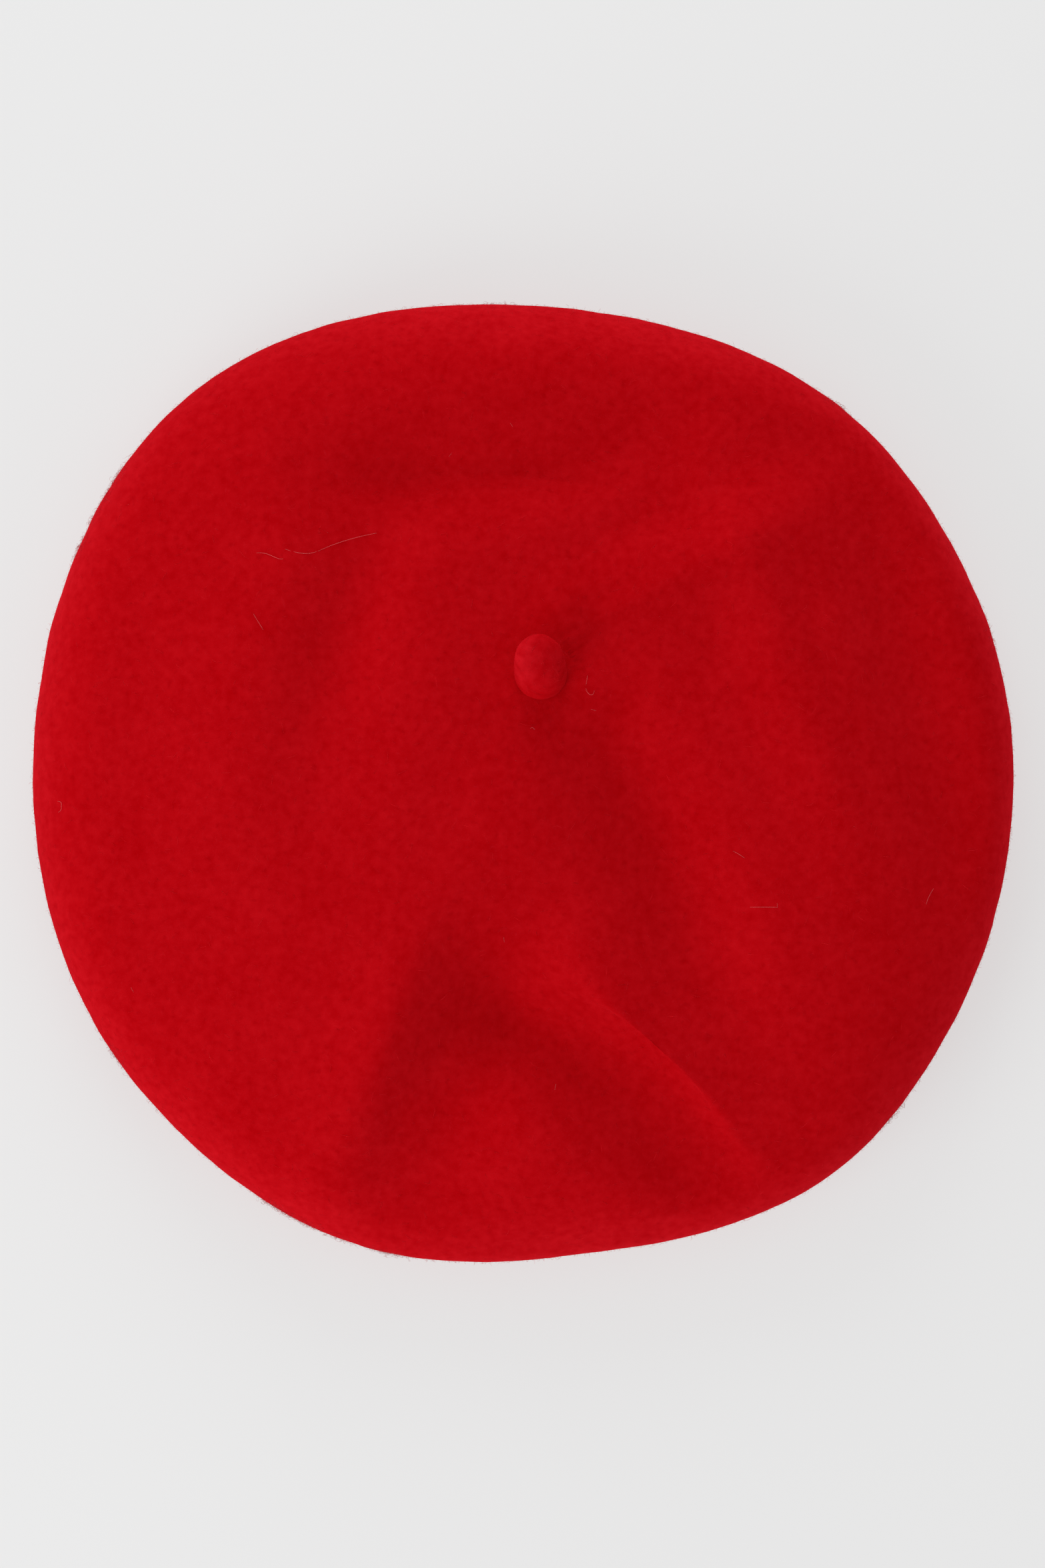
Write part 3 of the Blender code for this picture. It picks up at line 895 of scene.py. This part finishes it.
class BERET_OT_rim_fuzz(bpy.types.Operator):
    """Stands short fibres along the rim, which soften the beret's outline"""

    bl_idname = "beret.rim_fuzz"
    bl_label = "Rim Fuzz"

    def execute(self, context):
        fuzz = context.scene.beret_fuzz
        material = fibre_material("rim_wool", fuzz.fibre_red)
        grow_kind(RIM_FUZZ, material, fuzz.rim_length, fuzz.thickness, fuzz.rim_density)
        return {"FINISHED"}


class BERET_OT_tufts(bpy.types.Operator):
    """Tangles longer fibres into the tufts that stand out of the rim"""

    bl_idname = "beret.tufts"
    bl_label = "Tangled Tufts"

    def execute(self, context):
        fuzz = context.scene.beret_fuzz
        material = fibre_material("tangled_wool", fuzz.tangle_red)
        grow_kind(TANGLE, material, fuzz.tangle_length, fuzz.thickness, fuzz.tangle_density)
        return {"FINISHED"}


class BERET_OT_stray_hairs(bpy.types.Operator):
    """Lays single pale hairs on the crown"""

    bl_idname = "beret.stray_hairs"
    bl_label = "Stray Hairs"

    def execute(self, context):
        fuzz = context.scene.beret_fuzz
        dice = random.Random(HAIR_SEED)
        bm = bmesh.new()
        bm.from_mesh(bpy.data.objects["felt_crown"].data)
        felt = BVHTree.FromBMesh(bm)
        bm.free()
        hairs = [lay_hair(places, fuzz.hair_thickness, felt, dice) for places in STRAY_HAIRS]
        piece = new_object("stray_hairs", joined_mesh("stray_hairs", hairs),
                           fibre_material("pale_hair", fuzz.hair_pink))
        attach(piece, "root")
        return {"FINISHED"}


class BERET_OT_stage(bpy.types.Operator):
    """Sets the table, the studio lamps, the light from all round and the camera"""

    bl_idname = "beret.stage"
    bl_label = "Stage"

    def execute(self, context):
        stage = context.scene.beret_stage
        self.lay_table(stage)
        for lamp in SOFTBOXES:
            self.hang(lamp, stage.lamps)
        self.light_room(context.scene, stage.room)
        self.aim_camera(context.scene)
        context.scene.view_settings.view_transform = "Standard"
        return {"FINISHED"}

    def lay_table(self, stage):
        """One flat top at the height that the beret rests on."""
        bm = bmesh.new()
        bmesh.ops.create_grid(bm, x_segments=1, y_segments=1, size=TABLE_SIZE / 2)
        mesh = bpy.data.meshes.new("table_top")
        bm.to_mesh(mesh)
        bm.free()
        table = new_object("table_top", mesh, table_material("opal_acrylic", stage.table, stage.glow))

    def hang(self, lamp, strength):
        """A round softbox on a circle round the beret, turned to its middle."""
        light = bpy.data.lights.new(lamp.name, "AREA")
        light.shape = "DISK"
        light.size = SOFTBOX_SIZE
        light.energy = lamp.power * strength
        piece = bpy.data.objects.new(lamp.name, light)
        turn, rise = math.radians(lamp.azimuth), math.radians(lamp.elevation)
        away = Vector((math.cos(turn) * math.cos(rise), math.sin(turn) * math.cos(rise), math.sin(rise)))
        piece.location = away * SOFTBOX_DISTANCE
        piece.rotation_euler = away.to_track_quat("Z", "Y").to_euler()
        bpy.context.scene.collection.objects.link(piece)

    def light_room(self, scene, strength):
        """White walls, and a ceiling about half as bright as they are."""
        world = bpy.data.worlds.new("white_room")
        world.use_nodes = True
        tree = world.node_tree
        tree.nodes.clear()
        way = add_node(tree, "ShaderNodeTexCoord")
        axes = add_node(tree, "ShaderNodeSeparateXYZ", {0: (way, "Generated")})
        shade = add_node(tree, "ShaderNodeMapRange", {"Value": (axes, "Z"), "From Max": 0.7, "To Min": 1.0,
                                                      "To Max": 0.55})
        light = add_node(tree, "ShaderNodeBackground", {"Color": (shade, 0), "Strength": strength})
        add_node(tree, "ShaderNodeOutputWorld", {"Surface": (light, 0)})
        scene.world = world

    def aim_camera(self, scene):
        """Looks straight down, from a height that keeps the beret's sides out of sight."""
        pixel = 2 * HALF_WIDTH / PHOTO_BERET_WIDTH
        rim_height = (LOW.z + HIGH.z) * RIM_HEIGHT_SHARE
        lens = bpy.data.cameras.new("camera")
        lens.sensor_width = SENSOR
        lens.lens = SENSOR * (CAMERA_HEIGHT - rim_height) / (PHOTO_HEIGHT * pixel)
        camera = bpy.data.objects.new("camera", lens)
        camera.location = (-PHOTO_OFFSET_RIGHT * pixel, -PHOTO_OFFSET_UP * pixel, CAMERA_HEIGHT)
        scene.collection.objects.link(camera)
        scene.camera = camera


class BERET_PT_pieces(bpy.types.Panel):
    """Lists the beret's pieces and its stage"""

    bl_idname = "BERET_PT_pieces"
    bl_label = "Fulled Wool Beret"
    bl_space_type = "VIEW_3D"
    bl_region_type = "UI"
    bl_category = "Beret"

    def draw(self, context):
        for group, operators in PANEL_ROWS:
            box = self.layout.box()
            settings = getattr(context.scene, group)
            for name in settings.__annotations__:
                box.prop(settings, name)
            for operator in operators:
                box.operator(operator.bl_idname)


PIECES = (BERET_OT_crown, BERET_OT_stem, BERET_OT_nap, BERET_OT_rim_fuzz, BERET_OT_tufts,
          BERET_OT_stray_hairs, BERET_OT_stage)
GROUPS = {
    "beret_felt": BeretFelt,
    "beret_shape": BeretShape,
    "beret_fuzz": BeretFuzz,
    "beret_stage": BeretStage,
}
PANEL_ROWS = (
    ("beret_felt", ()),
    ("beret_shape", (BERET_OT_crown, BERET_OT_stem)),
    ("beret_fuzz", (BERET_OT_nap, BERET_OT_rim_fuzz, BERET_OT_tufts, BERET_OT_stray_hairs)),
    ("beret_stage", (BERET_OT_stage,)),
)


def register():
    """Adds the settings, the operators and the panel to Blender."""
    for name, group in GROUPS.items():
        bpy.utils.register_class(group)
        setattr(bpy.types.Scene, name, bpy.props.PointerProperty(type=group))
    for kind in (*PIECES, BERET_PT_pieces):
        bpy.utils.register_class(kind)


def unregister():
    """Takes the panel, the operators and the settings out of Blender again."""
    for kind in (BERET_PT_pieces, *reversed(PIECES)):
        bpy.utils.unregister_class(kind)
    for name, group in GROUPS.items():
        delattr(bpy.types.Scene, name)
        bpy.utils.unregister_class(group)


def main():
    """Makes every piece in order."""
    register()
    bpy.ops.beret.crown()
    bpy.ops.beret.stem()
    bpy.ops.beret.nap()
    bpy.ops.beret.rim_fuzz()
    bpy.ops.beret.tufts()
    bpy.ops.beret.stray_hairs()
    bpy.ops.beret.stage()


if __name__ == "__main__":
    main()
